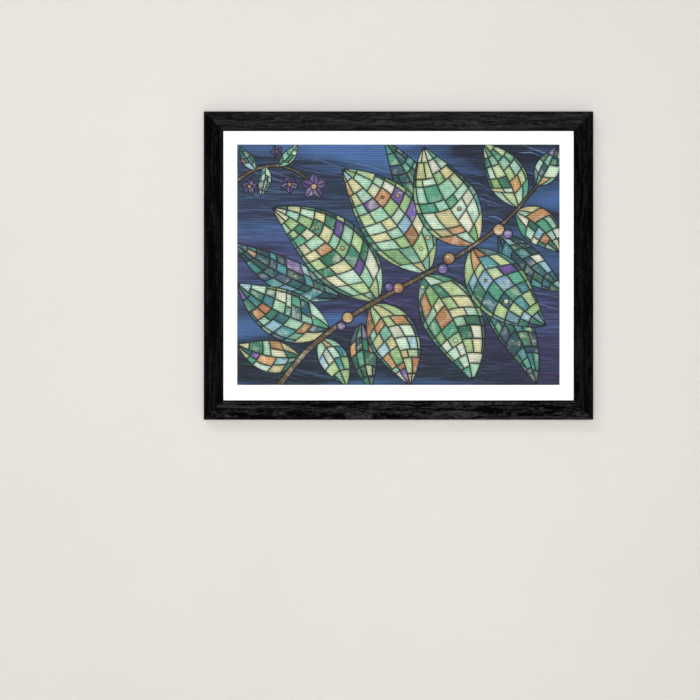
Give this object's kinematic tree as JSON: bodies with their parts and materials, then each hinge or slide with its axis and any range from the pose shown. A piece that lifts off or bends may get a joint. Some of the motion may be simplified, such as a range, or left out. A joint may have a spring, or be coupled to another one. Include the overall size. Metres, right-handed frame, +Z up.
{
  "type": "wall-hung framed picture",
  "caption": "Landscape picture in a black-stained wooden frame, with white window mat, glass, backing panel, turn buttons and D-ring hangers.",
  "frame": {"origin": "on the wall's plane, behind the middle of the frame", "axes": "+X to the right as seen from the front, +Y into the wall, +Z up; the picture faces -Y"},
  "size_m": [0.735, 0.027, 0.582],
  "materials": {
    "black_wood": "satin",
    "clear_glass": "gloss",
    "mat_board": "matte",
    "print_paper": "matte",
    "foam_board": "matte",
    "backing_board": "matte",
    "zinc_plate": "satin",
    "steel": "satin",
    "pad_rubber": "matte"
  },
  "bodies": {
    "frame": {"rail_top": "black_wood", "rail_bottom": "black_wood", "rail_left": "black_wood", "rail_right": "black_wood", "glazing": "clear_glass", "window_mat": "mat_board", "art_print": "print_paper", "foam_board": "foam_board", "backing_panel": "backing_board", "button_screw_top_left": "steel", "button_screw_top_right": "steel", "button_screw_bottom_left": "steel", "button_screw_bottom_right": "steel", "button_screw_left_upper": "steel", "button_screw_left_lower": "steel", "button_screw_right_upper": "steel", "button_screw_right_lower": "steel", "hanger_strap_left": "zinc_plate", "hanger_strap_right": "zinc_plate", "hanger_screw_left": "steel", "hanger_screw_right": "steel", "wall_pad_left": "pad_rubber", "wall_pad_right": "pad_rubber"},
    "button_top_left": {"turn_button_top_left": "zinc_plate"},
    "button_top_right": {"turn_button_top_right": "zinc_plate"},
    "button_bottom_left": {"turn_button_bottom_left": "zinc_plate"},
    "button_bottom_right": {"turn_button_bottom_right": "zinc_plate"},
    "button_left_upper": {"turn_button_left_upper": "zinc_plate"},
    "button_left_lower": {"turn_button_left_lower": "zinc_plate"},
    "button_right_upper": {"turn_button_right_upper": "zinc_plate"},
    "button_right_lower": {"turn_button_right_lower": "zinc_plate"},
    "ring_left": {"d_ring_left": "steel"},
    "ring_right": {"d_ring_right": "steel"}
  },
  "joints": [
    {"name": "turn_top_left", "type": "hinge", "parent": "frame", "child": "button_top_left", "pos_m": [-0.2, -0.0041, 0.2745], "axis": [0, 1, 0], "continuous": true},
    {"name": "turn_top_right", "type": "hinge", "parent": "frame", "child": "button_top_right", "pos_m": [0.2, -0.0041, 0.2745], "axis": [0, 1, 0], "continuous": true},
    {"name": "turn_bottom_left", "type": "hinge", "parent": "frame", "child": "button_bottom_left", "pos_m": [-0.2, -0.0041, -0.2745], "axis": [0, 1, 0], "continuous": true},
    {"name": "turn_bottom_right", "type": "hinge", "parent": "frame", "child": "button_bottom_right", "pos_m": [0.2, -0.0041, -0.2745], "axis": [0, 1, 0], "continuous": true},
    {"name": "turn_left_upper", "type": "hinge", "parent": "frame", "child": "button_left_upper", "pos_m": [-0.351, -0.0041, 0.09], "axis": [0, 1, 0], "continuous": true},
    {"name": "turn_left_lower", "type": "hinge", "parent": "frame", "child": "button_left_lower", "pos_m": [-0.351, -0.0041, -0.09], "axis": [0, 1, 0], "continuous": true},
    {"name": "turn_right_upper", "type": "hinge", "parent": "frame", "child": "button_right_upper", "pos_m": [0.351, -0.0041, 0.09], "axis": [0, 1, 0], "continuous": true},
    {"name": "turn_right_lower", "type": "hinge", "parent": "frame", "child": "button_right_lower", "pos_m": [0.351, -0.0041, -0.09], "axis": [0, 1, 0], "continuous": true},
    {"name": "swing_ring_left", "type": "hinge", "parent": "frame", "child": "ring_left", "pos_m": [-0.3525, -0.0025, 0.165], "axis": [-1, 0, 0], "range_deg": [0, 180]},
    {"name": "swing_ring_right", "type": "hinge", "parent": "frame", "child": "ring_right", "pos_m": [0.3525, -0.0025, 0.165], "axis": [-1, 0, 0], "range_deg": [0, 180]}
  ]
}
